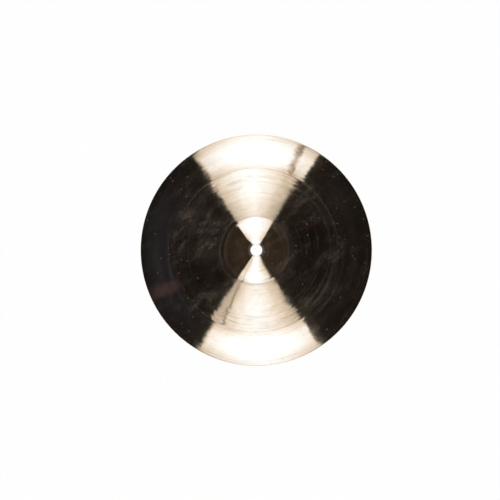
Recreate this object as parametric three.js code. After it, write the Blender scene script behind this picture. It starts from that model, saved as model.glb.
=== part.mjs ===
// A ten inch china cymbal in bell bronze: one cast disc that is rolled, cupped,
// turned up at its rim, hammered in rings and turned on a lathe.
//
// Millimetres, with +Z up out of the cup. The origin is on the cymbal's axis, on the
// plane that its crease lies on when it is put down with the cup up. The cymbal is a
// single sheet of metal, so it is one mesh: a revolved section, dented by the hammer.

import * as THREE from 'three';
import { mergeVertices } from 'three/addons/utils/BufferGeometryUtils.js';

// Driving diameters.
const rimDiameter = 254;
const creaseDiameter = 182;
const cupFootDiameter = 80;
const holeDiameter = 12.7;

// The level seat round the hole, the bends at the cup's crown, at its foot and at the
// crease, and the narrow level land that the crease lies on.
const seatWidth = 1.2;
const crownBendRadius = 4;
const footBendRadius = 15;
const creaseBendRadius = 2;
const landWidth = 0.8;

// Thickness of the sheet, which the lathe thins towards the rim.
const cupSheet = 1.05;
const footSheet = 0.95;
const creaseSheet = 0.8;
const steepestSheet = 0.75;
const rimSheet = 0.65;
const holeDeburr = 0.2;

// Slope of the sheet at each place, in degrees, positive where it rises outwards. The
// flange is steepest part of the way from the crease to the rim.
const crownSlope = -22;
const cupWallSlope = -35;
const bowInnerSlope = -6;
const bowOuterSlope = -11;
const flangeInnerSlope = 16;
const flangeSteepestSlope = 23;
const flangeRimSlope = 16.5;
const flangeSteepestShare = 0.49;

// Hammer marks: how far apart and how wide they are, how deep the lathe has left them,
// and how far round each ring of them starts, as a share of the pitch.
const blowPitch = 14;
const blowRadius = 8.5;
const blowDepth = 0.05;
const ringStartShare = 0.618;

// How finely the section is turned and divided.
const columns = 88;
const crownSteps = 2;
const domeSteps = 5;
const footSteps = 3;
const bowSteps = 8;
const flangeRiseSteps = 4;
const flangeFallSteps = 5;

const sineOf = (degrees) => Math.sin(THREE.MathUtils.degToRad(degrees));
const cosineOf = (degrees) => Math.cos(THREE.MathUtils.degToRad(degrees));

// The radius of each place where the sheet's curve changes. An arc is as wide as its
// own radius times the change in the sine of its slope.
const holeRadius = holeDiameter / 2;
const seatRadius = holeRadius + seatWidth;
const crownRadius = seatRadius - crownBendRadius * sineOf(crownSlope);
const footRadius = cupFootDiameter / 2;
const creaseRadius = creaseDiameter / 2;
const wallRadius = footRadius - footBendRadius * (sineOf(bowInnerSlope) - sineOf(cupWallSlope));
const landInner = creaseRadius - landWidth / 2;
const landOuter = creaseRadius + landWidth / 2;
const bowOuter = landInner + creaseBendRadius * sineOf(bowOuterSlope);
const flangeInner = landOuter + creaseBendRadius * sineOf(flangeInnerSlope);
const rimCentre = rimDiameter / 2 - rimSheet / 2 * cosineOf(flangeRimSlope);
const steepestRadius = THREE.MathUtils.lerp(flangeInner, rimCentre, flangeSteepestShare);

// Those places in order, from the level edge of the hole out to the rim. The middle of
// the sheet is one arc from each place to the next, in so many steps, so the arcs all
// join without a kink.
const stations = [
  { radius: holeRadius + holeDeburr, slope: 0, sheet: cupSheet, steps: 0 },
  { radius: seatRadius, slope: 0, sheet: cupSheet, steps: 1 },
  { radius: crownRadius, slope: crownSlope, sheet: cupSheet, steps: crownSteps },
  { radius: wallRadius, slope: cupWallSlope, sheet: cupSheet, steps: domeSteps },
  { radius: footRadius, slope: bowInnerSlope, sheet: footSheet, steps: footSteps },
  { radius: bowOuter, slope: bowOuterSlope, sheet: creaseSheet, steps: bowSteps },
  { radius: landInner, slope: 0, sheet: creaseSheet, steps: 1 },
  { radius: landOuter, slope: 0, sheet: creaseSheet, steps: 1 },
  { radius: flangeInner, slope: flangeInnerSlope, sheet: creaseSheet, steps: 1 },
  { radius: steepestRadius, slope: flangeSteepestSlope, sheet: steepestSheet, steps: flangeRiseSteps },
  { radius: rimCentre, slope: flangeRimSlope, sheet: rimSheet, steps: flangeFallSteps },
];

// The middle of the sheet. Along an arc the sine of its slope grows evenly with the
// radius, and each chord lies at the mean of the slopes at its two ends.
function middleOfSheet() {
  const [start, ...others] = stations;
  const middle = [{ radius: start.radius, sine: 0, height: 0, sheet: start.sheet }];
  for (const station of others) {
    const from = middle.at(-1);
    const toSine = sineOf(station.slope);
    for (let step = 1; step <= station.steps; step += 1) {
      const last = middle.at(-1);
      const share = step / station.steps;
      const radius = THREE.MathUtils.lerp(from.radius, station.radius, share);
      const sine = THREE.MathUtils.lerp(from.sine, toSine, share);
      const chord = (Math.asin(sine) + Math.asin(last.sine)) / 2;
      const height = last.height + (radius - last.radius) * Math.tan(chord);
      const sheet = THREE.MathUtils.lerp(from.sheet, station.sheet, share);
      middle.push({ radius, sine, height, sheet });
    }
  }
  return middle.map((place) => ({ ...place, cosine: Math.sqrt(1 - place.sine ** 2) }));
}

// One face of the sheet: its middle line moved half a thickness up or down.
function faceOfSheet(middle, side) {
  return middle.map(({ radius, height, sine, cosine, sheet }) => new THREE.Vector2(
    radius - side * sheet / 2 * sine,
    height + side * sheet / 2 * cosine,
  ));
}

// The closed section: the underside outwards, round the rim, the top inwards and
// down the wall of the hole, set so that the land's underside is at height zero.
function section() {
  const middle = middleOfSheet();
  const edge = middle.at(-1);
  const under = faceOfSheet(middle, -1);
  const top = faceOfSheet(middle, 1).reverse();
  const tip = new THREE.Vector2(
    edge.radius + edge.sheet / 2 * edge.cosine,
    edge.height + edge.sheet / 2 * edge.sine,
  );
  const wallTop = new THREE.Vector2(holeRadius, top.at(-1).y - holeDeburr);
  const wallFoot = new THREE.Vector2(holeRadius, under[0].y + holeDeburr);
  const outline = [...under, tip, ...top, wallTop, wallFoot, under[0].clone()];
  const lowest = Math.min(...under.map((point) => point.y));
  return outline.map((point) => new THREE.Vector2(point.x, point.y - lowest));
}

// The rings of hammer marks that fit between two radii. Each ring has as many blows
// as its length holds, and starts a little further round than the ring inside it.
function hammerRings(inner, outer) {
  const count = Math.floor((outer - inner) / blowPitch);
  return Array.from({ length: count }, (_, index) => {
    const radius = inner + (outer - inner) * (index + 0.5) / count;
    const blows = Math.round(2 * Math.PI * radius / blowPitch);
    return { radius, blows, start: index * ringStartShare };
  });
}

const rings = [
  ...hammerRings(footRadius, bowOuter),
  ...hammerRings(flangeInner, rimCentre),
];

// How deep the nearest blow has sunk the sheet at one place.
function dentAt(radius, angle) {
  let dent = 0;
  for (const ring of rings) {
    const turns = angle / (2 * Math.PI) * ring.blows + ring.start;
    const along = (turns - Math.round(turns)) * 2 * Math.PI * ring.radius / ring.blows;
    const reach = Math.hypot(radius - ring.radius, along) / blowRadius;
    dent = Math.max(dent, blowDepth * (1 - Math.min(reach, 1) ** 2) ** 2);
  }
  return dent;
}

// A blow moves both faces of the thin sheet down together.
function hammer(geometry) {
  const place = geometry.getAttribute('position');
  for (let index = 0; index < place.count; index += 1) {
    const radius = Math.hypot(place.getX(index), place.getY(index));
    const angle = Math.atan2(place.getY(index), place.getX(index));
    place.setZ(index, place.getZ(index) - dentAt(radius, angle));
  }
}

function cymbalGeometry() {
  const turned = new THREE.LatheGeometry(section(), columns);
  turned.rotateX(Math.PI / 2);
  turned.deleteAttribute('normal');
  turned.deleteAttribute('uv');
  const geometry = mergeVertices(turned);
  hammer(geometry);
  geometry.computeVertexNormals();
  return geometry;
}

const bellBronze = new THREE.MeshStandardMaterial({
  name: 'turned_bell_bronze',
  color: 0xd8b98c,
  roughness: 0.34,
  metalness: 1,
});

const cymbal = new THREE.Mesh(cymbalGeometry(), bellBronze);
cymbal.name = 'cymbal';

const group = new THREE.Group();
group.name = 'china_cymbal';
group.add(cymbal);

export default group;
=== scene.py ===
# %% [markdown]
# A ten inch china cymbal, seen from straight above with its cup towards the camera.
# It is one sheet of cast bell bronze: a domed cup, a shallow bow, and a flange that
# turns up past a crease. A smith hammers it in rings, and a lathe then cuts fine circles
# into both faces. Those circles make the picture: turned metal mirrors each light as a
# fan along its radius, so two lights give a bright bow tie and all the rest is dark.

import math

import bpy
from mathutils.kdtree import KDTree
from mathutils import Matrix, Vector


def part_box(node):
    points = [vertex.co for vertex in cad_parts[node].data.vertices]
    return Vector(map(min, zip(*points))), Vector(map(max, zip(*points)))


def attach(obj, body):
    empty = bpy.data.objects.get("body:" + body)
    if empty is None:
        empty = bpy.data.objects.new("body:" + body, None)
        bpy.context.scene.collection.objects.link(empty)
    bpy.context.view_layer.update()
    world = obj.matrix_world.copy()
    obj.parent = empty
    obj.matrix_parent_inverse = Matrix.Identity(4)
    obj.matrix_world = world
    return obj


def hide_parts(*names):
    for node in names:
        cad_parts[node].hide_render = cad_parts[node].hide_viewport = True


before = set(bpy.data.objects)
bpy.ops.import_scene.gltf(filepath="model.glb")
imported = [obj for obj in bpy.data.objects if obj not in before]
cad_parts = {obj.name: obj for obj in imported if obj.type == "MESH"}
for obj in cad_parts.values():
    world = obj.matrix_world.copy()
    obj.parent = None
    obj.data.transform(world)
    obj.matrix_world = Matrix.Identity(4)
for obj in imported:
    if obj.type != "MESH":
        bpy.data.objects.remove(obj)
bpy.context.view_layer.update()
low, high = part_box("cymbal")
MM = 0.001
print("cymbal box in mm", [round(side / MM, 2) for side in high - low])

# %% [markdown]
# The sizes of the real cymbal. The rim comes from the frame, so the two can't differ.
# The foot and the crease are read from the photograph. The slopes can't be read from
# above, so they were tried until each part mirrored the lights where the photograph
# shows them. A slope is positive where the sheet rises outwards. The sheet is thickest
# at the cup and is turned thinner towards the rim.

# %% Sizes
RIM_RADIUS = (high.x - low.x) / 2
CREASE_RADIUS = 91 * MM
FOOT_RADIUS = 40 * MM
HOLE_RADIUS = 6.35 * MM
SEAT_WIDTH = 1.2 * MM
CROWN_BEND_RADIUS = 4 * MM
FOOT_BEND_RADIUS = 18 * MM
CREASE_BEND_RADIUS = 1 * MM
LAND_WIDTH = 0.2 * MM
STEEPEST_SHARE = 0.49

CUP_SHEET = 1.05 * MM
FOOT_SHEET = 0.95 * MM
CREASE_SHEET = 0.8 * MM
STEEPEST_SHEET = 0.75 * MM
RIM_SHEET = 0.65 * MM

SEAT_SLOPE = math.radians(-18)
CROWN_SLOPE = math.radians(-22)
CUP_WALL_SLOPE = math.radians(-33.5)
BOW_INNER_SLOPE = math.radians(-6)
BOW_OUTER_SLOPE = math.radians(-11)
FLANGE_FOOT_SLOPE = math.radians(16)
FLANGE_STEEP_SLOPE = math.radians(23)
FLANGE_RIM_SLOPE = math.radians(16.5)
print("foot, crease and rim in mm",
      [round(radius / MM, 1) for radius in (FOOT_RADIUS, CREASE_RADIUS, RIM_RADIUS)])

# %% [markdown]
# The section of the sheet is a chain of arcs, each starting at the slope where the last
# one ended. On a real blank the press and the hammer give just such smooth bends, with
# no kink between them. Along an arc the sine of the slope grows evenly with the radius,
# which is all the arithmetic that the chain needs.

# %% Section
RING_STEP = 0.85 * MM
FEWEST_STEPS = 4


def arc(places, to_radius, to_slope, to_sheet):
    """Adds one arc's places to the chain, each (radius, height, sine of slope, sheet)."""
    from_radius, _, from_sine, from_sheet = places[-1]
    run = to_radius - from_radius
    count = max(round(run / RING_STEP), FEWEST_STEPS)
    for step in range(1, count + 1):
        share = step / count
        radius, height, sine, _ = places[-1]
        new_radius = from_radius + run * share
        new_sine = from_sine + (math.sin(to_slope) - from_sine) * share
        chord = (math.asin(sine) + math.asin(new_sine)) / 2
        new_height = height + (new_radius - radius) * math.tan(chord)
        new_sheet = from_sheet + (to_sheet - from_sheet) * share
        places.append((new_radius, new_height, new_sine, new_sheet))


seat_radius = HOLE_RADIUS + SEAT_WIDTH
crown_radius = seat_radius - CROWN_BEND_RADIUS * math.sin(CROWN_SLOPE)
wall_radius = FOOT_RADIUS - FOOT_BEND_RADIUS * (math.sin(BOW_INNER_SLOPE) - math.sin(CUP_WALL_SLOPE))
land_inner = CREASE_RADIUS - LAND_WIDTH / 2
land_outer = CREASE_RADIUS + LAND_WIDTH / 2
bow_outer = land_inner + CREASE_BEND_RADIUS * math.sin(BOW_OUTER_SLOPE)
flange_inner = land_outer + CREASE_BEND_RADIUS * math.sin(FLANGE_FOOT_SLOPE)
rim_centre = RIM_RADIUS - RIM_SHEET / 2 * math.sin(FLANGE_RIM_SLOPE)
steepest_radius = flange_inner + (rim_centre - flange_inner) * STEEPEST_SHARE

section = [(HOLE_RADIUS, 0.0, math.sin(SEAT_SLOPE), CUP_SHEET)]
arc(section, seat_radius, SEAT_SLOPE, CUP_SHEET)
arc(section, crown_radius, CROWN_SLOPE, CUP_SHEET)
arc(section, wall_radius, CUP_WALL_SLOPE, CUP_SHEET)
arc(section, FOOT_RADIUS, BOW_INNER_SLOPE, FOOT_SHEET)
arc(section, bow_outer, BOW_OUTER_SLOPE, CREASE_SHEET)
arc(section, land_inner, 0.0, CREASE_SHEET)
arc(section, land_outer, 0.0, CREASE_SHEET)
arc(section, flange_inner, FLANGE_FOOT_SLOPE, CREASE_SHEET)
arc(section, steepest_radius, FLANGE_STEEP_SLOPE, STEEPEST_SHEET)
arc(section, rim_centre, FLANGE_RIM_SLOPE, RIM_SHEET)

crease_height = min(height for _, height, _, _ in section)
section = [(r, z - crease_height + CREASE_SHEET / 2, s, t) for r, z, s, t in section]
print(len(section), "places, from a hole", round(section[0][1] / MM, 2), "mm up, to a rim",
      round(section[-1][1] / MM, 2), "mm up")

# %% [markdown]
# A lathe-turned form is made by spinning its section. The section starts as a small
# plane that is merged into one point, and that point is extruded from place to place,
# as one would click it in. Spin then sweeps the line round the axis. The sheet has no
# thickness yet, so that the hammer can dent both of its faces at once.

# %% Spin the sheet
COLUMNS = 300
SAME_PLACE = 0.001 * MM
STARTER_SIZE = 0.2 * MM


def edit():
    """Enters edit mode with every point selected."""
    bpy.ops.object.mode_set(mode="EDIT")
    bpy.ops.mesh.select_mode(type="VERT")
    bpy.ops.mesh.select_all(action="SELECT")


def leave():
    """Goes back to object mode, which writes what was edited into the mesh."""
    bpy.ops.object.mode_set(mode="OBJECT")


bpy.ops.object.select_all(action="DESELECT")
first_radius, first_height = section[0][:2]
bpy.ops.mesh.primitive_plane_add(size=STARTER_SIZE, location=(0, 0, 0))
cymbal = bpy.context.object
cymbal.name = "turned_cymbal"
edit()
bpy.ops.mesh.merge(type="CENTER")
bpy.ops.transform.translate(value=(first_radius, 0, first_height))
for here, there in zip(section, section[1:]):
    step = (there[0] - here[0], 0, there[1] - here[1])
    bpy.ops.mesh.extrude_region_move(TRANSFORM_OT_translate={"value": step})
bpy.ops.mesh.select_all(action="SELECT")
bpy.ops.mesh.spin(steps=COLUMNS, angle=math.tau, center=(0, 0, 0), axis=(0, 0, 1))
bpy.ops.mesh.select_all(action="SELECT")
bpy.ops.mesh.remove_doubles(threshold=SAME_PLACE)
bpy.ops.mesh.normals_make_consistent(inside=False)
leave()
if cymbal.data.polygons[0].normal.z < 0:
    edit()
    bpy.ops.mesh.flip_normals()
    leave()
print(len(cymbal.data.vertices), "points on the sheet")

# %% [markdown]
# The hammer works in rings, with as many blows in each as its length holds. Proportional
# editing is the right tool for a blow: one selected point goes down, and its neighbours
# follow less the further they are from it, as the metal does. The lathe has nearly
# cleaned the dents out of the bow and has left them a little deeper in the flange.

# %% Hammer
BLOW_PITCH = 14 * MM
BLOW_RADIUS = 8.5 * MM
BOW_BLOW_DEPTH = 0.02 * MM
FLANGE_BLOW_DEPTH = 0.025 * MM
RING_START_SHARE = 0.618


def blows_between(inner, outer):
    """The centre of every blow that falls between two radii."""
    centres = []
    rings = math.floor((outer - inner) / BLOW_PITCH)
    for ring in range(rings):
        radius = inner + (outer - inner) * (ring + 0.5) / rings
        blows = round(math.tau * radius / BLOW_PITCH)
        for blow in range(blows):
            angle = math.tau * (blow - ring * RING_START_SHARE) / blows
            centres.append((radius * math.cos(angle), radius * math.sin(angle), 0))
    return centres


def strike(obj, centres, depth):
    """Presses the sheet down round each centre, as far as the blow's radius."""
    tree = KDTree(len(obj.data.vertices))
    for vertex in obj.data.vertices:
        tree.insert((vertex.co.x, vertex.co.y, 0), vertex.index)
    tree.balance()
    edit()
    bpy.ops.mesh.select_all(action="DESELECT")
    leave()
    for centre in centres:
        obj.data.vertices[tree.find(centre)[1]].select = True
    bpy.ops.object.mode_set(mode="EDIT")
    bpy.ops.transform.translate(
        value=(0, 0, -depth), use_proportional_edit=True,
        proportional_edit_falloff="SMOOTH", proportional_size=BLOW_RADIUS)
    leave()
    print(len(centres), "blows", round(depth / MM, 3), "mm deep")


strike(cymbal, blows_between(FOOT_RADIUS, bow_outer), BOW_BLOW_DEPTH)
strike(cymbal, blows_between(flange_inner, rim_centre), FLANGE_BLOW_DEPTH)

# %% [markdown]
# Solidify gives the sheet its wall. A vertex group holds the share of the full thickness
# that is left at each radius, as the lathe has tapered it. The lathe's file then breaks
# the sharp corners at the rim and at the hole, which a small bevel stands for.

# %% Thickness
EDGE_BREAK = 0.15 * MM
EDGE_SEGMENTS = 2
SHARP_ANGLE = math.radians(50)

taper = cymbal.vertex_groups.new(name="taper")
rings = {}
for vertex in cymbal.data.vertices:
    ring = min(range(len(section)), key=lambda place: abs(section[place][0] - vertex.co.xy.length))
    rings.setdefault(ring, []).append(vertex.index)
for ring, indices in rings.items():
    taper.add(indices, section[ring][3] / CUP_SHEET, "REPLACE")


def finish_with(obj, kind, **settings):
    """Adds one modifier with these settings and applies it."""
    modifier = obj.modifiers.new(kind, kind)
    for name, value in settings.items():
        setattr(modifier, name, value)
    bpy.ops.object.modifier_apply(modifier=modifier.name)


finish_with(cymbal, "SOLIDIFY", thickness=CUP_SHEET, offset=0, vertex_group="taper")
finish_with(cymbal, "BEVEL", width=EDGE_BREAK, segments=EDGE_SEGMENTS,
            limit_method="ANGLE", angle_limit=SHARP_ANGLE)
bpy.ops.object.select_all(action="DESELECT")
cymbal.select_set(True)
bpy.ops.object.shade_smooth_by_angle(angle=SHARP_ANGLE)
print(sum(len(face.vertices) - 2 for face in cymbal.data.polygons), "triangles")

# %% [markdown]
# Small helpers for shader nodes. A wire can be given in place of a number, so a chain of
# nodes reads like the sum that it works out.

# %% Node helpers
def add(tree, kind, sockets=None, **settings):
    """Adds one shader node, sets it, and fills its sockets with values or wires."""
    node = tree.nodes.new("ShaderNode" + kind)
    for name, value in settings.items():
        setattr(node, name, value)
    for name, value in (sockets or {}).items():
        if isinstance(value, bpy.types.NodeSocket):
            tree.links.new(value, node.inputs[name])
        else:
            node.inputs[name].default_value = value
    return node


def sum_of(tree, operation, *values, clamp=False):
    """One Math node, and the wire that comes out of it."""
    return add(tree, "Math", dict(enumerate(values)), operation=operation, use_clamp=clamp).outputs[0]


def times(tree, first, *others):
    """The product of two or more wires or numbers."""
    for other in others:
        first = sum_of(tree, "MULTIPLY", first, other)
    return first


def plus(tree, first, *others):
    """The sum of two or more wires or numbers."""
    for other in others:
        first = sum_of(tree, "ADD", first, other)
    return first


def ramp(tree, value, start, end, low=0.0, high=1.0):
    """Goes smoothly from low to high while the value goes from start to end."""
    sockets = {"Value": value, "From Min": start, "From Max": end, "To Min": low, "To Max": high}
    return add(tree, "MapRange", sockets, interpolation_type="SMOOTHSTEP").outputs["Result"]


def vector_of(tree, operation, *values):
    """One Vector Math node."""
    return add(tree, "VectorMath", dict(enumerate(values)), operation=operation)


def scaled(tree, vector, factor):
    """A vector or colour made longer or brighter by a factor."""
    return add(tree, "VectorMath", {"Vector": vector, "Scale": factor}, operation="SCALE").outputs["Vector"]


def blend(tree, share, first, second):
    """A colour between two others."""
    node = tree.nodes.new("ShaderNodeMix")
    node.data_type = "RGBA"
    for socket, value in ((node.inputs["Factor"], share), (node.inputs[6], first), (node.inputs[7], second)):
        if isinstance(value, bpy.types.NodeSocket):
            tree.links.new(value, socket)
        else:
            socket.default_value = value
    return node.outputs[2]


def cloud(tree, place, size, detail=2.0, roughness=0.5, dimensions="3D"):
    """Noise from 0 to 1 whose blots are about this size across."""
    sockets = {"Scale": 1 / size, "Detail": detail, "Roughness": roughness}
    sockets["W" if dimensions == "1D" else "Vector"] = place
    return add(tree, "TexNoise", sockets, noise_dimensions=dimensions).outputs["Fac"]


# %% [markdown]
# Where a point is on the disc: how far out it lies, which way is outwards, and which way
# runs round. The turning marks, the wear and the colours all follow these, so one helper
# makes their nodes. Another makes an empty node group, because the marks and the wear are
# each built once as a group, and the bronze only sets their values.

# %% Polar places
def new_group(name, inputs=(), outputs=()):
    """A node group with these sockets, and the nodes that lead in and out of it."""
    tree = bpy.data.node_groups.new(name, "ShaderNodeTree")
    for socket, kind, value in inputs:
        made = tree.interface.new_socket(socket, in_out="INPUT", socket_type="NodeSocket" + kind)
        made.default_value = value
    for socket, kind in outputs:
        tree.interface.new_socket(socket, in_out="OUTPUT", socket_type="NodeSocket" + kind)
    return tree, tree.nodes.new("NodeGroupInput"), tree.nodes.new("NodeGroupOutput")


def polar(tree):
    """The radius, and the directions outwards and round, at each point."""
    place = add(tree, "TexCoord").outputs["Object"]
    flat = vector_of(tree, "MULTIPLY", place, (1, 1, 0)).outputs["Vector"]
    radius = vector_of(tree, "LENGTH", flat).outputs["Value"]
    outwards = vector_of(tree, "NORMALIZE", flat).outputs["Vector"]
    round_axis = vector_of(tree, "CROSS_PRODUCT", (0, 0, 1), outwards).outputs["Vector"]
    return place, radius, outwards, round_axis


# %% [markdown]
# Turning marks. The tool leaves a fine spiral of grooves, too fine to model, so they only
# tilt the normal: outwards and inwards by a noise that depends on the radius alone, which
# smears a mirrored lamp along the radius. Old hammer dents and the chatter of the tool
# tilt it sideways too, very little, and that makes the edges of a mirrored lamp ragged.

# %% Turning marks
CREASE_ZONE = (64 * MM, 80 * MM, 92 * MM, 100 * MM)
GROOVE_WIDTH = 0.5 * MM
GROOVE_BAND_WIDTH = 4 * MM
GROOVE_BAND_SHARE = 0.25
GROOVE_PATCH_SIZE = 30 * MM
GROOVE_PATCH_NOISE = (0.35, 0.65)
GROOVE_PATCH_SHARES = (0.5, 1.0)
OLD_DENT_SIZE = 7 * MM
FRINGE_WIDTH = 1.3 * MM
FRINGE_TURN = 0.12
CREASE_FRINGE_GAIN = 2.0


def streaks(tree, radius, outwards, width, turn, detail=2.0, roughness=0.5):
    """Noise drawn out along the circles, this wide and this many radians long."""
    along = add(tree, "CombineXYZ", {"Z": times(tree, radius, 1 / width)}).outputs["Vector"]
    place = vector_of(tree, "ADD", scaled(tree, outwards, 1 / turn), along).outputs["Vector"]
    sockets = {"Vector": place, "Scale": 1.0, "Detail": detail, "Roughness": roughness}
    return add(tree, "TexNoise", sockets).outputs["Fac"]


def swing(tree, noise):
    """Noise moved to lie either side of zero."""
    return sum_of(tree, "SUBTRACT", noise, 0.5)


def band(tree, radius, edges, height=1.0):
    """Rises from the first radius to the second, and falls from the third to the fourth."""
    rise_from, rise_to, fall_from, fall_to = edges
    rise = ramp(tree, radius, rise_from, rise_to)
    return times(tree, rise, ramp(tree, radius, fall_from, fall_to, height, 0.0))


tree, into, out = new_group(
    "turning_marks_and_bend_shade",
    inputs=[("Groove Tilt", "Float", 0.0), ("Chatter", "Float", 0.0)],
    outputs=[("Normal", "Vector"), ("Dull Circles And Bend Shade", "Float")])
place, radius, outwards, round_axis = polar(tree)
near_crease = band(tree, radius, CREASE_ZONE)

fine = swing(tree, cloud(tree, radius, GROOVE_WIDTH, detail=3, roughness=0.6, dimensions="1D"))
broad = swing(tree, cloud(tree, radius, GROOVE_BAND_WIDTH, detail=2, roughness=0.6, dimensions="1D"))
grooves = plus(tree, fine, times(tree, broad, GROOVE_BAND_SHARE))
depth = ramp(tree, cloud(tree, place, GROOVE_PATCH_SIZE), *GROOVE_PATCH_NOISE, *GROOVE_PATCH_SHARES)
out_tilt = times(tree, grooves, depth, into.outputs["Groove Tilt"])

dents = swing(tree, cloud(tree, place, OLD_DENT_SIZE, detail=3))
fringes = streaks(tree, radius, outwards, FRINGE_WIDTH, FRINGE_TURN, detail=3, roughness=0.6)
fringe_gain = plus(tree, times(tree, near_crease, CREASE_FRINGE_GAIN), 1.0)
fringes = times(tree, swing(tree, fringes), fringe_gain)
side_tilt = times(tree, plus(tree, dents, fringes), into.outputs["Chatter"])

tilt = vector_of(tree, "ADD", scaled(tree, outwards, out_tilt), scaled(tree, round_axis, side_tilt))
normal = add(tree, "NewGeometry").outputs["Normal"]
tilted = vector_of(tree, "ADD", normal, tilt.outputs["Vector"]).outputs["Vector"]
tree.links.new(vector_of(tree, "NORMALIZE", tilted).outputs["Vector"], out.inputs["Normal"])
print("grooves and chatter take", len(tree.nodes), "nodes")

# %% [markdown]
# The tool rubbed some stretches of circle duller than others, mostly at the crease, and
# handling has dulled the cup's foot and the rim all round. The lines are noise drawn out
# along the circles, and they come and go in patches, which looks less regular than rings.
# The bends at the cup's foot and at the crease are darkened as well, which is painted shade.

# %% Dull circles and painted bend shade
SOFT_LINE_WIDTH = 3.4 * MM
SOFT_LINE_TURN = 0.55
SOFT_LINE_NOISE = (0.44, 0.70)
SOFT_LINE_SHARE = 0.8
THIN_LINE_WIDTH = 1.2 * MM
THIN_LINE_TURN = 0.45
THIN_LINE_NOISE = (0.50, 0.72)
THIN_LINE_SHARE = 0.35
LINE_PATCH_SIZE = 24 * MM
LINE_PATCH_NOISE = (0.38, 0.62)
LINE_PATCH_SHARES = (0.15, 1.0)
CREASE_LINES = 0.75
OTHER_LINES = 0.2

FOOT_ZONE = (36 * MM, 38 * MM, 39 * MM, 42 * MM)
FOOT_RUBBED = 0.5
RIM_ZONE = (115 * MM, 121 * MM)
RIM_RUBBED = 0.7
RUBBED_IN_LINES = 0.7
RUBBED_EVENLY = 0.25
# The two bend zones below darken the colour as painted shade, not as wear.
FOOT_BEND_ZONE = (34.8 * MM, 37 * MM, 37.4 * MM, 40.5 * MM)
CREASE_BEND_ZONE = (87.5 * MM, 90 * MM, 92 * MM, 96 * MM)
CREASE_BEND_PAINTED_SHADE = 0.15

soft_lines = ramp(tree, streaks(tree, radius, outwards, SOFT_LINE_WIDTH, SOFT_LINE_TURN), *SOFT_LINE_NOISE)
thin_lines = ramp(tree, streaks(tree, radius, outwards, THIN_LINE_WIDTH, THIN_LINE_TURN), *THIN_LINE_NOISE)
patches = ramp(tree, cloud(tree, place, LINE_PATCH_SIZE), *LINE_PATCH_NOISE, *LINE_PATCH_SHARES)
lines = plus(tree, times(tree, soft_lines, SOFT_LINE_SHARE), times(tree, thin_lines, THIN_LINE_SHARE))
circles = times(tree, lines, patches, plus(tree, times(tree, near_crease, CREASE_LINES), OTHER_LINES))

rubbed_foot = times(tree, band(tree, radius, FOOT_ZONE), FOOT_RUBBED)
rubbed_rim = times(tree, ramp(tree, radius, *RIM_ZONE), RIM_RUBBED)
rubbed = plus(tree, times(tree, thin_lines, RUBBED_IN_LINES), RUBBED_EVENLY)
rubbed = times(tree, rubbed, plus(tree, rubbed_foot, rubbed_rim))
# Painted shade: the bends at the cup's foot and at the crease are darkened.
painted_bend_shade = band(tree, radius, CREASE_BEND_ZONE, CREASE_BEND_PAINTED_SHADE)
painted_bend_shade = plus(tree, painted_bend_shade, band(tree, radius, FOOT_BEND_ZONE))
circles = sum_of(tree, "MAXIMUM", circles, plus(tree, rubbed, painted_bend_shade))
tree.links.new(circles, out.inputs["Dull Circles And Bend Shade"])
turning_marks_and_bend_shade = tree
print("turning marks have", len(tree.nodes), "nodes")

# %% [markdown]
# The patina of a handled cymbal. It scatters a little light where clean metal mirrors the
# dark room, so it shows there and hardly in the bow tie. The first part of it is a film of
# finger grease, drawn out on a slant in the way that a hand wipes, and broken up by blots
# and by a fine grain.

# %% Patina
SMEAR_SLANT = math.radians(-50)
SMEAR_STRETCH = 2.8
SMEAR_SIZE = 9 * MM
SMEAR_NOISE = (0.47, 0.66)
SMEAR_SHARE = 0.9
FILM_SHARE = 0.1
BLOT_SIZE = 26 * MM
BLOT_NOISE = (0.38, 0.64)
BLOT_SHARES = (0.15, 1.0)
GRAIN_SIZE = 2.2 * MM
GRAIN_NOISE = (0.35, 0.70)
GRAIN_SHARES = (0.5, 1.5)
FLANGE_HAZE_RADII = (92 * MM, 100 * MM)
FLANGE_HAZE_SHARES = (1.0, 0.5)

tree, _, out = new_group(
    "patina", outputs=[("Haze", "Float"), ("Scratches", "Float"), ("Specks", "Float")])
place, radius, outwards, _ = polar(tree)
turned = {"Vector": place, "Rotation": (0, 0, SMEAR_SLANT), "Scale": (1, SMEAR_STRETCH, 1)}
slanted = add(tree, "Mapping", turned, vector_type="TEXTURE").outputs["Vector"]
smears = ramp(tree, cloud(tree, slanted, SMEAR_SIZE, detail=5, roughness=0.6), *SMEAR_NOISE)
blots = cloud(tree, place, BLOT_SIZE, detail=3, roughness=0.6)
blots = ramp(tree, blots, *BLOT_NOISE, *BLOT_SHARES)
grain = cloud(tree, place, GRAIN_SIZE, detail=3, roughness=0.7)
grain = ramp(tree, grain, *GRAIN_NOISE, *GRAIN_SHARES)
haze = times(tree, plus(tree, times(tree, smears, SMEAR_SHARE), FILM_SHARE), blots, grain)
haze = times(tree, haze, ramp(tree, radius, *FLANGE_HAZE_RADII, *FLANGE_HAZE_SHARES))
print("the film of grease takes", len(tree.nodes), "nodes")

# %% [markdown]
# Grease and fine wear gather where a cymbal is gripped and stacked: at the cup's foot, at
# the crease, and in a few smudges. The foot is more worn in the west and the crease in the
# east. Each smudge is a place east and north of the middle, its reach and its strength.

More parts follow.
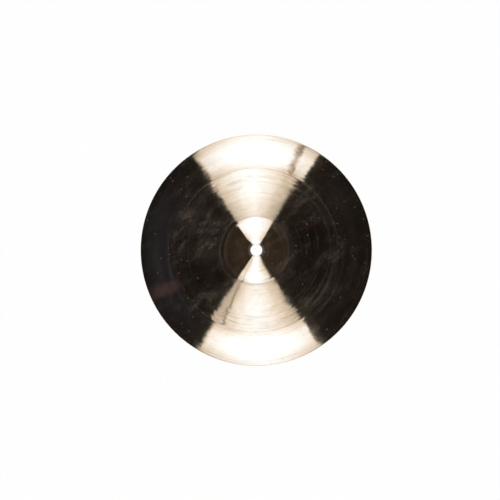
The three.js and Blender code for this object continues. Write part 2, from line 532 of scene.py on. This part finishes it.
# %% Wear and smudges
WEST_PLACES = (25 * MM, -25 * MM)
WEST_SHARES = (0.6, 1.0)
BOTH_SIDES = 1.5
WORN_WIDTH = 1.8 * MM
WORN_TURN = 1.2
WORN_NOISE = (0.44, 0.66)
WORN_SHARES = (0.1, 1.5)
FOOT_WORN_ZONE = (33 * MM, 37 * MM, 38 * MM, 48 * MM)
FOOT_WEAR = 0.75
CREASE_WORN_ZONE = (74 * MM, 88 * MM, 94 * MM, 104 * MM)
CREASE_WEAR = 0.35
SMUDGE_HEIGHT = 8 * MM
SMUDGE_FILM = 0.15
SMUDGES = [
    (-34 * MM, 22 * MM, 14 * MM, 1.2),
    (-50 * MM, -3 * MM, 20 * MM, 1.3),
    (-66 * MM, 32 * MM, 26 * MM, 1.8),
    (-84 * MM, 8 * MM, 20 * MM, 0.9),
    (-52 * MM, -52 * MM, 24 * MM, 0.7),
    (56 * MM, 60 * MM, 26 * MM, 0.9),
    (62 * MM, -56 * MM, 24 * MM, 0.8),
]

west = add(tree, "SeparateXYZ", {"Vector": place}).outputs["X"]
west = ramp(tree, west, *WEST_PLACES, *WEST_SHARES)
east = sum_of(tree, "SUBTRACT", BOTH_SIDES, west)
worn = streaks(tree, radius, outwards, WORN_WIDTH, WORN_TURN, detail=2, roughness=0.6)
worn = ramp(tree, worn, *WORN_NOISE, *WORN_SHARES)
foot = times(tree, band(tree, radius, FOOT_WORN_ZONE), west, FOOT_WEAR)
crease = times(tree, band(tree, radius, CREASE_WORN_ZONE), east, CREASE_WEAR)
haze = plus(tree, haze, times(tree, plus(tree, foot, crease), worn))
for east_of, north_of, reach, strength in SMUDGES:
    gap = vector_of(tree, "DISTANCE", place, (east_of, north_of, SMUDGE_HEIGHT)).outputs["Value"]
    smudge = times(tree, ramp(tree, gap, 0.0, reach, strength, 0.0), plus(tree, smears, SMUDGE_FILM))
    haze = plus(tree, haze, times(tree, smudge, grain))
tree.links.new(haze, out.inputs["Haze"])
print(len(SMUDGES), "smudges")

# %% [markdown]
# The cloth that wiped the disc left fine scratches round it, and dust has settled on it.
# The scratches are the same drawn out noise as the dull circles, but much longer.
# A speck is the middle of a Voronoi cell, and a cloud of noise chooses which cells have one.

# %% Scratches and specks
SCRATCH_WIDTH = 1.5 * MM
SCRATCH_TURN = 1.6
SCRATCH_NOISE = (0.55, 0.70)
WIPED_SIZE = 40 * MM
WIPED_NOISE = (0.40, 0.62)
WIPED_SHARES = (0.2, 1.0)
BOW_SCRATCH_RADII = (45 * MM, 75 * MM)
BOW_SCRATCH_SHARES = (0.2, 1.0)
FLANGE_SCRATCH_RADII = (98 * MM, 108 * MM)
FLANGE_SCRATCH_SHARES = (1.0, 0.3)
CUP_SCRATCH_RADII = (30 * MM, 42 * MM)
CUP_SCRATCH_SHARES = (0.9, 0.0)
SPECK_PITCH = 4.5 * MM
SPECK_EDGE = (0.08, 0.17)
DUSTY_SIZE = 9 * MM
DUSTY_NOISE = (0.52, 0.60)

scratches = ramp(tree, streaks(tree, radius, outwards, SCRATCH_WIDTH, SCRATCH_TURN), *SCRATCH_NOISE)
wiped = ramp(tree, cloud(tree, place, WIPED_SIZE, detail=1), *WIPED_NOISE, *WIPED_SHARES)
on_bow = ramp(tree, radius, *BOW_SCRATCH_RADII, *BOW_SCRATCH_SHARES)
on_bow = times(tree, on_bow, ramp(tree, radius, *FLANGE_SCRATCH_RADII, *FLANGE_SCRATCH_SHARES))
here = plus(tree, on_bow, ramp(tree, radius, *CUP_SCRATCH_RADII, *CUP_SCRATCH_SHARES))
tree.links.new(times(tree, scratches, times(tree, wiped, east), here), out.inputs["Scratches"])

cells = add(tree, "TexVoronoi", {"Vector": place, "Scale": 1 / SPECK_PITCH})
near = ramp(tree, cells.outputs["Distance"], *SPECK_EDGE, 1.0, 0.0)
dusty = ramp(tree, cloud(tree, place, DUSTY_SIZE), *DUSTY_NOISE)
tree.links.new(times(tree, near, dusty), out.inputs["Specks"])
patina = tree
print("patina has", len(tree.nodes), "nodes")

# %% [markdown]
# Bell bronze. The metal is pale copper in colour. The Principled shader's anisotropy
# stretches each mirrored lamp, and its Tangent has to point outwards, across the grooves.
# The cup was turned with a finer tool, so it is brighter than the bow, and the flange is
# a little pinker. The dull circles and the painted shade in the bends darken its colour,
# and so does the grip of hands at the rim. A ring of painted shade darkens it round the hole.

# %% Bronze
CUP_COLOUR = (0.88, 0.72, 0.535, 1)
BOW_COLOUR = (0.86, 0.69, 0.495, 1)
FLANGE_COLOUR = (0.86, 0.68, 0.485, 1)
DULL_AND_BEND_SHADE_COLOUR = (0.50, 0.37, 0.24, 1)
DIRT_AND_HOLE_SHADE_COLOUR = (0.80, 0.47, 0.22, 1)
CUP_COLOUR_BLUR = 5 * MM
FLANGE_COLOUR_BEFORE = 6 * MM
FLANGE_COLOUR_AFTER = 10 * MM
RIM_GRIP = (4 * MM, 1 * MM)
RIM_GRIP_DULLNESS = 0.2
# The ring round the hole below is painted shade, not wear.
HOLE_SHADE_RING = (1.5 * MM, 3.5 * MM)
CIRCLE_AND_BEND_SHADE_DARKENING = 0.7
GROOVE_TILT = 0.14
CHATTER = 0.014
TURNED_ROUGHNESS = 0.105
HAZE_ROUGHNESS = 0.03
ANISOTROPY = 1.0

bronze = bpy.data.materials.new("bell_bronze")
bronze.use_nodes = True
tree = bronze.node_tree
metal = tree.nodes["Principled BSDF"]
marks = add(tree, "Group", node_tree=turning_marks_and_bend_shade)
marks.inputs["Groove Tilt"].default_value = GROOVE_TILT
marks.inputs["Chatter"].default_value = CHATTER
wear = add(tree, "Group", node_tree=patina)
circles = marks.outputs["Dull Circles And Bend Shade"]
haze, scratches, specks = (wear.outputs[name] for name in ("Haze", "Scratches", "Specks"))
_, radius, outwards, _ = polar(tree)

on_cup = ramp(tree, radius, FOOT_RADIUS, FOOT_RADIUS - CUP_COLOUR_BLUR)
on_flange = ramp(tree, radius, CREASE_RADIUS - FLANGE_COLOUR_BEFORE, CREASE_RADIUS + FLANGE_COLOUR_AFTER)
clean = blend(tree, on_flange, blend(tree, on_cup, BOW_COLOUR, CUP_COLOUR), FLANGE_COLOUR)
grip_start, grip_end = (RIM_RADIUS - inset for inset in RIM_GRIP)
gripped = ramp(tree, radius, grip_start, grip_end, 0.0, RIM_GRIP_DULLNESS)
# The circles bring the painted shade of the bends into the darkening of the colour.
dullness_and_bend_shade = sum_of(tree, "MAXIMUM", times(tree, circles, CIRCLE_AND_BEND_SHADE_DARKENING), gripped)
# Painted shade: a dark ring round the hole, in the bronze's colour and its mirror.
hole_shade_start, hole_shade_end = (HOLE_RADIUS + width for width in HOLE_SHADE_RING)
painted_hole_shade = ramp(tree, radius, hole_shade_start, hole_shade_end, 1.0, 0.0)
print("the painted shade round the hole reaches out to", round(hole_shade_end / MM, 2), "mm")

# %% [markdown]
# The dirt and the painted shade ring round the hole tint the base colour, and they also
# take the mirror away, so that the softboxes light them from the side. Each kind of wear,
# and the painted shade ring, has its own share in both.

# %% Dirt, painted hole shade and mirror
HAZE_DIRT_ON_BOW = 0.25
HAZE_DIRT_ON_CUP = 0.1
SCRATCH_DIRT = 0.3
SPECK_DIRT = 0.3
HOLE_SHADE_TINT = 0.2
HAZE_SHARE = 0.07
CIRCLE_SHARE = 0.015
SCRATCH_SHARE = 0.10
SPECK_SHARE = 0.35
HOLE_SHADE_SHARE = 0.2

haze_dirt = ramp(tree, on_cup, 0.0, 1.0, HAZE_DIRT_ON_BOW, HAZE_DIRT_ON_CUP)
dirt_and_hole_shade = plus(tree, times(tree, haze, haze_dirt), times(tree, scratches, SCRATCH_DIRT),
            times(tree, specks, SPECK_DIRT), times(tree, painted_hole_shade, HOLE_SHADE_TINT))
dirt_and_hole_shade = sum_of(tree, "MINIMUM", dirt_and_hole_shade, 1.0)
shown = blend(tree, dirt_and_hole_shade, blend(tree, dullness_and_bend_shade, clean, DULL_AND_BEND_SHADE_COLOUR), DIRT_AND_HOLE_SHADE_COLOUR)
lost = plus(tree, times(tree, haze, HAZE_SHARE), times(tree, circles, CIRCLE_SHARE),
            times(tree, scratches, SCRATCH_SHARE), times(tree, specks, SPECK_SHARE),
            times(tree, painted_hole_shade, HOLE_SHADE_SHARE))
tree.links.new(shown, metal.inputs["Base Color"])
tree.links.new(sum_of(tree, "SUBTRACT", 1.0, lost), metal.inputs["Metallic"])
tree.links.new(plus(tree, times(tree, haze, HAZE_ROUGHNESS), TURNED_ROUGHNESS), metal.inputs["Roughness"])
metal.inputs["Anisotropic"].default_value = ANISOTROPY
tree.links.new(outwards, metal.inputs["Tangent"])
tree.links.new(marks.outputs["Normal"], metal.inputs["Normal"])
cymbal.data.materials.clear()
cymbal.data.materials.append(bronze)
print("bronze has", len(tree.nodes), "nodes")

# %% [markdown]
# The floor is white paper that keeps the cymbal's shadow. Most of its light is its own
# where the camera or the metal sees it, so it stays white at any angle. It can't be seen
# from below, so that the underside can be looked at.

# %% Floor
FLOOR_SIZE = 60.0
FLOOR_GAP = 0.1 * MM
PAPER_COLOUR = (0.98, 0.98, 0.98, 1)
WHITE = (1, 1, 1, 1)
OWN_LIGHT_SHARE = 0.985

bpy.ops.object.select_all(action="DESELECT")
bpy.ops.mesh.primitive_plane_add(size=FLOOR_SIZE, location=(0, 0, -FLOOR_GAP))
floor = bpy.context.object
floor.name = "paper_floor"
paper = bpy.data.materials.new("paper")
paper.use_nodes = True
tree = paper.node_tree
tree.nodes.remove(tree.nodes["Principled BSDF"])
path = add(tree, "LightPath")
seen = sum_of(tree, "MAXIMUM", path.outputs["Is Camera Ray"], path.outputs["Is Glossy Ray"])
seen = sum_of(tree, "MAXIMUM", seen, path.outputs["Is Transmission Ray"])
matt = add(tree, "BsdfDiffuse", {"Color": PAPER_COLOUR})
glow = add(tree, "Emission", {"Color": WHITE, "Strength": 1.0})
own_light = times(tree, seen, OWN_LIGHT_SHARE)
front = add(tree, "MixShader", {0: own_light, 1: matt.outputs[0], 2: glow.outputs[0]})
behind = add(tree, "NewGeometry").outputs["Backfacing"]
clear = add(tree, "BsdfTransparent")
sides = add(tree, "MixShader", {0: behind, 1: front.outputs[0], 2: clear.outputs[0]})
tree.links.new(sides.outputs[0], tree.nodes["Material Output"].inputs["Surface"])
floor.data.materials.append(paper)
print("floor is", FLOOR_SIZE, "m wide")

# %% [markdown]
# The studio is painted on the world by direction: its turn, clockwise from north, and its
# lean, away from straight up. Turned metal mirrors one lean at each radius, so a light
# that changes with the lean is a light that changes along the cymbal's radius. The bow
# mirrors the leans from 14 to 26 degrees, the flange 27 to 41, from the other side of the
# room, and the cup 44 to 68.

# %% Studio
studio = bpy.data.worlds.new("studio")
studio.use_nodes = True
bpy.context.scene.world = studio
tree = studio.node_tree
toward = add(tree, "TexCoord").outputs["Generated"]
east, north, up = add(tree, "SeparateXYZ", {"Vector": toward}).outputs
south, west = times(tree, north, -1.0), times(tree, east, -1.0)
degree = math.radians(1)
lean = sum_of(tree, "DIVIDE", sum_of(tree, "ARCCOSINE", up), degree)


def turn_from(ahead, aside):
    """How many degrees round from straight ahead a direction lies, clockwise from above."""
    return sum_of(tree, "DIVIDE", sum_of(tree, "ARCTAN2", aside, ahead), degree)


def away(wire, middle):
    """How far a value is from a middle one, to either side."""
    return sum_of(tree, "ABSOLUTE", sum_of(tree, "SUBTRACT", wire, middle))


def by_lean(start, *changes):
    """A value that starts here and then changes, each time between two leans."""
    value = start
    for nearest, furthest, change in changes:
        value = plus(tree, ramp(tree, lean, nearest, furthest, 0.0, change), value)
    return value


# %% [markdown]
# Two tall softboxes stand north and south of the cymbal and reach from near the horizon
# almost to overhead. Their straight sides draw the edges of the bow tie, one side crisp
# and the other soft. Each is brightest at one turn and fades to its sides. A value is a
# start followed by its changes, each with the two leans that it happens between.

# %% Softboxes
LEVEL = (1.35, (17, 20, 0.25), (22, 25, -0.22), (26, 28, 0.12), (28, 38, 0.58),
         (42, 46, -0.63), (48, 64, 0.30))
SPREAD = (44, (24, 31, 16), (32, 37, 10))
NORTH_SPREAD = SPREAD + ((41, 45, -8), (48, 62, 12))
SOUTH_SPREAD = SPREAD + ((41, 45, -26), (58, 70, 12))
NORTH_HOT = (-2, (18, 20, -2), (24, 28, 2), (42, 46, -3))
SOUTH_HOT = (-1, (24, 28, 1), (42, 48, 3))
NORTH_GAIN = (0.89, (17, 20, 0.11), (18.5, 20.5, 0.26), (23.5, 25.5, -0.26))
SOUTH_GAIN = (1.04, (22, 26, -0.04))
NORTH_LEFT = (-33.9, (27, 30, 0.7), (46, 49, -6.2), (49, 60, 2.5))
NORTH_RIGHT = (31.4, (27, 30, -0.8))
SOUTH_LEFT = (-32.2, (24, 28, -0.9), (45.5, 47.5, 8.8), (46, 60, -3.7))
SOUTH_RIGHT = (32.8, (42, 46, 0.7))
SOUTH_LEFT_BLUR = (1.8, (45.5, 47.5, 2.2))
SOFT_BLUR = 1.8
CRISP_BLUR = 0.6
FADE_POWER = 1.35


def softbox(turn, sides, hot, spread, gain):
    """One softbox's light, brightest where it is hot. Each side is a turn and its blur."""
    share = sum_of(tree, "DIVIDE", away(turn, hot), spread)
    hump = sum_of(tree, "SUBTRACT", 1.0, sum_of(tree, "POWER", share, FADE_POWER), clamp=True)
    (left, left_blur), (right, right_blur) = sides
    left_edge = sum_of(tree, "DIVIDE", sum_of(tree, "SUBTRACT", turn, left), left_blur)
    right_edge = sum_of(tree, "DIVIDE", sum_of(tree, "SUBTRACT", turn, right), right_blur)
    inside = times(tree, ramp(tree, left_edge, -1.0, 1.0), ramp(tree, right_edge, -1.0, 1.0, 1.0, 0.0))
    return times(tree, hump, level, inside, gain)


level = by_lean(*LEVEL)
from_south = turn_from(south, west)
north_sides = ((by_lean(*NORTH_LEFT), CRISP_BLUR), (by_lean(*NORTH_RIGHT), SOFT_BLUR))
north_box = softbox(turn_from(north, east), north_sides, by_lean(*NORTH_HOT),
                    by_lean(*NORTH_SPREAD), by_lean(*NORTH_GAIN))
south_sides = ((by_lean(*SOUTH_LEFT), by_lean(*SOUTH_LEFT_BLUR)), (by_lean(*SOUTH_RIGHT), CRISP_BLUR))
south_box = softbox(from_south, south_sides, by_lean(*SOUTH_HOT),
                    by_lean(*SOUTH_SPREAD), by_lean(*SOUTH_GAIN))
print("the two softboxes take", len(tree.nodes), "nodes")

# %% [markdown]
# A lamp's stand hangs as a thin dark line in the south box. The bow and the cup mirror it
# in the south, and the flange mirrors it again in the north. Where the boxes are bright
# their light is bluer than the metal's own colour, as the photograph's whites are.

# %% Stand and boxes
STAND_TURN = (24.8, (24, 29, -1.6), (42, 46, -2), (46, 64, 3.6))
STAND_HALF_WIDTH = (0.9, (24, 28, 0.5), (32, 40, -0.4), (42, 46, -0.5))
STAND_BLUR = 0.7
STAND_LIGHT = (0.04, (30, 38, 0.16), (42, 46, 0.1))
STAND_COLOUR = (1.0, 0.74, 0.52, 1)
WANDER_PITCH = 3.0
WANDER_REACH = 5.0
WANDER_SHARES = (1.0, (42, 46, -0.9))
OVERHEAD_SHARES = (0.7, (1, 8, 0.3))
HORIZON_LEANS = (84, 88)
BRIGHT_LIGHT = (0.7, 1.8)
BRIGHT_COLOUR = (0.79, 1.0, 1.39, 1)

wander = swing(tree, cloud(tree, lean, WANDER_PITCH, detail=2, dimensions="1D"))
wander = times(tree, wander, WANDER_REACH, by_lean(*WANDER_SHARES))
stand_gap = away(from_south, plus(tree, by_lean(*STAND_TURN), wander))
past_stand = sum_of(tree, "SUBTRACT", stand_gap, by_lean(*STAND_HALF_WIDTH))
past_stand = ramp(tree, past_stand, -STAND_BLUR, STAND_BLUR)
stand = ramp(tree, past_stand, 0.0, 1.0, by_lean(*STAND_LIGHT), 1.0)
boxes = plus(tree, north_box, times(tree, south_box, stand))
boxes = times(tree, boxes, by_lean(*OVERHEAD_SHARES), ramp(tree, lean, *HORIZON_LEANS, 1.0, 0.0))
box_colour = blend(tree, ramp(tree, boxes, *BRIGHT_LIGHT), WHITE, BRIGHT_COLOUR)
box_colour = blend(tree, stand, STAND_COLOUR, box_colour)
print("the softboxes and the stand take", len(tree.nodes), "nodes")

# %% [markdown]
# Between the boxes the room is dark, but not black, and the polished metal shows what is
# in it: brown card low down, blue-grey cloth to the east, and a few small things. Each is
# a soft patch with its turn, its half width, its leans and its colour.

# %% Room
THINGS = [
    (-94, 10, 15, 20, (0.022, 0.018, 0.016)),
    (-70, 10, 23, 26, (0.022, 0.019, 0.023)),
    (-55, 7, 19, 22, (0.012, 0.010, 0.013)),
    (-52, 7, 12, 15, (0.014, 0.012, 0.010)),
    (50, 9, 15, 18, (0.008, 0.008, 0.008)),
    (50, 14, 24, 27, (0.009, 0.010, 0.008)),
    (135, 10, 24, 27, (0.009, 0.009, 0.007)),
    (65, 2, 14, 26, (0.016, 0.010, 0.005)),
    (65, 4, 50, 58, (0.020, 0.012, 0.006)),
    (67, 5, 30, 45, (0.038, 0.020, 0.024)),
    (82, 58, 33, 44, (0.005, 0.010, 0.022)),
    (-90, 75, 48, 56, (0.012, 0.008, 0.005)),
    (-120, 16, 32, 42, (0.004, 0.004, 0.004)),
]
THING_CORE_SHARE = 0.2
THING_REACH_SHARE = 1.1
THING_BLUR_OUTSIDE = 2.5
THING_BLUR_INSIDE = 1.5
BOW_ROOM = (0.0088, 0.0066, 0.0058, 1)
FLANGE_ROOM = (0.0104, 0.0092, 0.0100, 1)
CROWN_ROOM = (0.040, 0.029, 0.021, 1)
WALL_ROOM = (0.023, 0.018, 0.014, 1)
FLANGE_START = (26, 28)
CROWN_START = (43, 45)
WALL_START = (50, 64)
MOTTLE_SIZE = 0.15
MOTTLE_NOISE = (0.32, 0.68)
MOTTLE_SHARES = (0.8, 1.2)

room = blend(tree, ramp(tree, lean, *FLANGE_START), BOW_ROOM, FLANGE_ROOM)
room = blend(tree, ramp(tree, lean, *CROWN_START), room, CROWN_ROOM)
room = blend(tree, ramp(tree, lean, *WALL_START), room, WALL_ROOM)
room = scaled(tree, room, ramp(tree, cloud(tree, toward, MOTTLE_SIZE), *MOTTLE_NOISE, *MOTTLE_SHARES))
turn = turn_from(north, east)
for middle, half_width, nearest, furthest, colour in THINGS:
    core, reach = half_width * THING_CORE_SHARE, half_width * THING_REACH_SHARE
    beside = ramp(tree, away(turn, middle), core, reach, 1.0, 0.0)
    start = ramp(tree, lean, nearest - THING_BLUR_OUTSIDE, nearest + THING_BLUR_INSIDE)
    end = ramp(tree, lean, furthest - THING_BLUR_INSIDE, furthest + THING_BLUR_OUTSIDE, 1.0, 0.0)
    patch = scaled(tree, colour, times(tree, beside, start, end))
    room = vector_of(tree, "ADD", room, patch).outputs["Vector"]
print(len(THINGS), "things in the room")

# %% [markdown]
# A white cloth closes the studio at the horizon, where the metal and the lens both see it.
# Higher up only the lens sees white, as a wall behind the cymbal in the other views. The
# metal doesn't, because a white room would wash out the dark between the two fans.

# %% Backdrop
seen = add(tree, "LightPath").outputs["Is Camera Ray"]
cloth = sum_of(tree, "MAXIMUM", ramp(tree, lean, *HORIZON_LEANS), seen)
boxes_lit = add(tree, "Background", {"Color": box_colour, "Strength": boxes})
room_lit = add(tree, "Background", {"Color": room})
cloth_lit = add(tree, "Background", {"Color": WHITE, "Strength": cloth})
both = add(tree, "AddShader", {0: boxes_lit.outputs[0], 1: room_lit.outputs[0]})
everything = add(tree, "AddShader", {0: both.outputs[0], 1: cloth_lit.outputs[0]})
tree.links.new(everything.outputs[0], tree.nodes["World Output"].inputs["Surface"])
print("studio has", len(tree.nodes), "nodes")

# %% [markdown]
# The camera looks straight down. The disc is 231 of the picture's 500 pixels wide and
# sits a little right of the middle, which the camera's place gives. The frame has its
# width at a level part of the way up the cymbal.

# %% Camera
FRAME_WIDTH = 550 * MM
FRAME_LEVEL = 10 * MM
CAMERA_EAST = -6.9 * MM
CAMERA_NORTH = 0.2 * MM
LENS = 85
SENSOR_WIDTH = 36

camera_data = bpy.data.cameras.new("camera")
camera_data.lens = LENS
camera_data.sensor_width = SENSOR_WIDTH
camera = bpy.data.objects.new("camera", camera_data)
bpy.context.scene.collection.objects.link(camera)
camera_height = FRAME_WIDTH * LENS / SENSOR_WIDTH + FRAME_LEVEL
camera.location = (CAMERA_EAST, CAMERA_NORTH, camera_height)
bpy.context.scene.camera = camera
bpy.context.scene.view_settings.view_transform = "Standard"
print("camera is", round(camera_height / MM), "mm up")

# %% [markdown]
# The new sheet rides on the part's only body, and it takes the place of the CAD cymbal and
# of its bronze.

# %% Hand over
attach(cymbal, "root")
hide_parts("cymbal")
